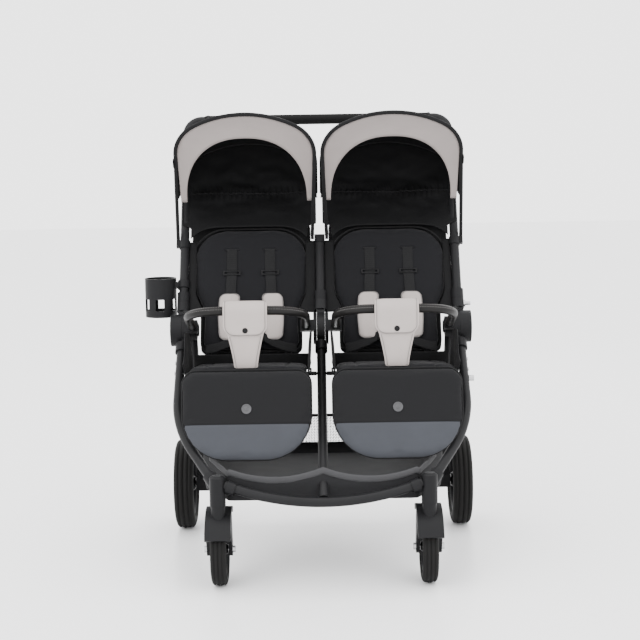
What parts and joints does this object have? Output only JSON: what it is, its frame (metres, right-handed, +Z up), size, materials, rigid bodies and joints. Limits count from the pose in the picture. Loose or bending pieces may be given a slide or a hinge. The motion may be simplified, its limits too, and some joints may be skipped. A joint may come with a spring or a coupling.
{
  "type": "twin stroller",
  "caption": "Folding side-by-side stroller with two reclining seats, canopies, bumper bars, swivel front wheels and a shopping basket.",
  "frame": {"origin": "on the floor under the middle of the bounding box", "axes": "+Z up, -Y the way the stroller rolls, +X towards the seat without the cup holder"},
  "size_m": [0.8185, 0.7262, 1.0714],
  "materials": {
    "frame_tube": "matte charcoal powder coat",
    "hub_plastic": "matte moulded plastic",
    "seat_fabric": "woven dark grey",
    "basket_fabric": "woven dark grey",
    "canopy_fabric": "black woven",
    "visor_fabric": "greige woven",
    "cover_fabric": "light greige quilted",
    "leatherette": "black leatherette",
    "webbing": "black webbing",
    "grip_foam": "soft black grip",
    "tyre": "black foam rubber",
    "rim_plastic": "matte black plastic",
    "steel": "zinc plated",
    "black_wire": "black coated"
  },
  "bodies": {
    "chassis": {"front_leg_left": "frame_tube", "front_leg_right": "frame_tube", "front_post": "frame_tube", "hub_left": "hub_plastic", "hub_right": "hub_plastic", "hub_centre": "hub_plastic", "front_rail": "frame_tube", "rail_collars": "hub_plastic", "caster_housings": "hub_plastic", "seat_pan_left": "seat_fabric", "seat_pan_right": "seat_fabric", "basket": "basket_fabric", "basket_rod": "black_wire", "frame_studs": "steel"},
    "rear_frame": {"rear_leg_left": "frame_tube", "rear_leg_right": "frame_tube", "rear_axle": "frame_tube", "rear_housings": "hub_plastic"},
    "brake": {"brake_pedal": "hub_plastic"},
    "handle": {"push_tube_left": "frame_tube", "push_tube_right": "frame_tube", "handle_bar": "frame_tube", "handle_grip": "grip_foam", "centre_post": "frame_tube", "hub_covers": "hub_plastic", "cup_holder": "hub_plastic", "accessory_stud": "steel", "canopy_clips": "hub_plastic"},
    "collars": {"lock_collars": "hub_plastic"},
    "seat_hinge": {"back_links": "frame_tube"},
    "calf_left": {"calf_rest_left": "seat_fabric"},
    "caster_left": {"fork_left": "hub_plastic", "front_axle_left": "steel"},
    "front_wheel_left": {"front_tyre_left": "tyre", "front_rim_left": "rim_plastic"},
    "rear_wheel_left": {"rear_tyre_left": "tyre", "rear_rim_left": "rim_plastic"},
    "lock_left": {"swivel_lock_left": "hub_plastic"},
    "canopy_left": {"canopy_bow_left": "black_wire", "canopy_hood_left": "canopy_fabric", "canopy_visor_left": "visor_fabric"},
    "back_left": {"backrest_left": "seat_fabric", "harness_left": "webbing"},
    "bar_left": {"bumper_left": "leatherette", "crotch_cover_left": "cover_fabric"},
    "calf_right": {"calf_rest_right": "seat_fabric"},
    "caster_right": {"fork_right": "hub_plastic", "front_axle_right": "steel"},
    "front_wheel_right": {"front_tyre_right": "tyre", "front_rim_right": "rim_plastic"},
    "rear_wheel_right": {"rear_tyre_right": "tyre", "rear_rim_right": "rim_plastic"},
    "lock_right": {"swivel_lock_right": "hub_plastic"},
    "canopy_right": {"canopy_bow_right": "black_wire", "canopy_hood_right": "canopy_fabric", "canopy_visor_right": "visor_fabric"},
    "back_right": {"backrest_right": "seat_fabric", "harness_right": "webbing"},
    "bar_right": {"bumper_right": "leatherette", "crotch_cover_right": "cover_fabric"}
  },
  "joints": [
    {"name": "frame_fold", "type": "hinge", "parent": "chassis", "child": "handle", "pos_m": [0.027, 0.051, 0.542], "axis": [1, 0, 0], "range_deg": [0, 120]},
    {"name": "rear_fold", "type": "hinge", "parent": "chassis", "child": "rear_frame", "pos_m": [0.027, 0.051, 0.542], "axis": [1, 0, 0], "range_deg": [-40, 0]},
    {"name": "seat_fold", "type": "hinge", "parent": "chassis", "child": "seat_hinge", "pos_m": [0.027, 0.057, 0.456], "axis": [1, 0, 0], "range_deg": [0, 30]},
    {"name": "brake_press", "type": "hinge", "parent": "rear_frame", "child": "brake", "pos_m": [0.027, 0.277, 0.128], "axis": [1, 0, 0], "range_deg": [-18, 0]},
    {"name": "collar_slide", "type": "slide", "parent": "handle", "child": "collars", "axis": [0, 0.5, 0.866], "range_m": [0, 0.012], "stiffness_N_per_m": 200, "springref_m": -0.01},
    {"name": "calf_tilt_left", "type": "hinge", "parent": "chassis", "child": "calf_left", "pos_m": [-0.145, -0.194, 0.486], "axis": [1, 0, 0], "range_deg": [-70, 0]},
    {"name": "caster_swivel_left", "type": "hinge", "parent": "chassis", "child": "caster_left", "pos_m": [-0.21, -0.317, 0.192], "axis": [0, 0, 1], "continuous": true},
    {"name": "front_spin_left", "type": "hinge", "parent": "caster_left", "child": "front_wheel_left", "pos_m": [-0.21, -0.279, 0.082], "axis": [1, 0, 0], "continuous": true},
    {"name": "rear_spin_left", "type": "hinge", "parent": "rear_frame", "child": "rear_wheel_left", "pos_m": [-0.33, 0.241, 0.115], "axis": [1, 0, 0], "continuous": true},
    {"name": "swivel_lock_left", "type": "slide", "parent": "chassis", "child": "lock_left", "axis": [0, 0, -1], "range_m": [0, 0.006]},
    {"name": "canopy_left", "type": "hinge", "parent": "handle", "child": "canopy_left", "pos_m": [-0.15, 0.1765, 0.75937], "axis": [1, 0, 0], "range_deg": [-52, 0], "deforming": ["canopy_hood_left"]},
    {"name": "recline_left", "type": "hinge", "parent": "seat_hinge", "child": "back_left", "pos_m": [-0.145, 0.057, 0.456], "axis": [1, 0, 0], "range_deg": [-40, 0]},
    {"name": "bumper_left", "type": "slide", "parent": "chassis", "child": "bar_left", "axis": [0, -0.9517, 0.3071], "range_m": [0, 0.25]},
    {"name": "calf_tilt_right", "type": "hinge", "parent": "chassis", "child": "calf_right", "pos_m": [0.199, -0.194, 0.486], "axis": [1, 0, 0], "range_deg": [-70, 0]},
    {"name": "caster_swivel_right", "type": "hinge", "parent": "chassis", "child": "caster_right", "pos_m": [0.264, -0.317, 0.192], "axis": [0, 0, 1], "continuous": true},
    {"name": "front_spin_right", "type": "hinge", "parent": "caster_right", "child": "front_wheel_right", "pos_m": [0.264, -0.279, 0.082], "axis": [1, 0, 0], "continuous": true},
    {"name": "rear_spin_right", "type": "hinge", "parent": "rear_frame", "child": "rear_wheel_right", "pos_m": [0.384, 0.241, 0.115], "axis": [1, 0, 0], "continuous": true},
    {"name": "swivel_lock_right", "type": "slide", "parent": "chassis", "child": "lock_right", "axis": [0, 0, -1], "range_m": [0, 0.006]},
    {"name": "canopy_right", "type": "hinge", "parent": "handle", "child": "canopy_right", "pos_m": [0.204, 0.1765, 0.75937], "axis": [1, 0, 0], "range_deg": [-52, 0], "deforming": ["canopy_hood_right"]},
    {"name": "recline_right", "type": "hinge", "parent": "seat_hinge", "child": "back_right", "pos_m": [0.199, 0.057, 0.456], "axis": [1, 0, 0], "range_deg": [-40, 0]},
    {"name": "bumper_right", "type": "slide", "parent": "chassis", "child": "bar_right", "axis": [0, -0.9517, 0.3071], "range_m": [0, 0.25]}
  ],
  "couplings": [
    {"joint": "rear_fold", "follows": "frame_fold", "ratio": -0.33333},
    {"joint": "seat_fold", "follows": "frame_fold", "ratio": 0.25}
  ]
}
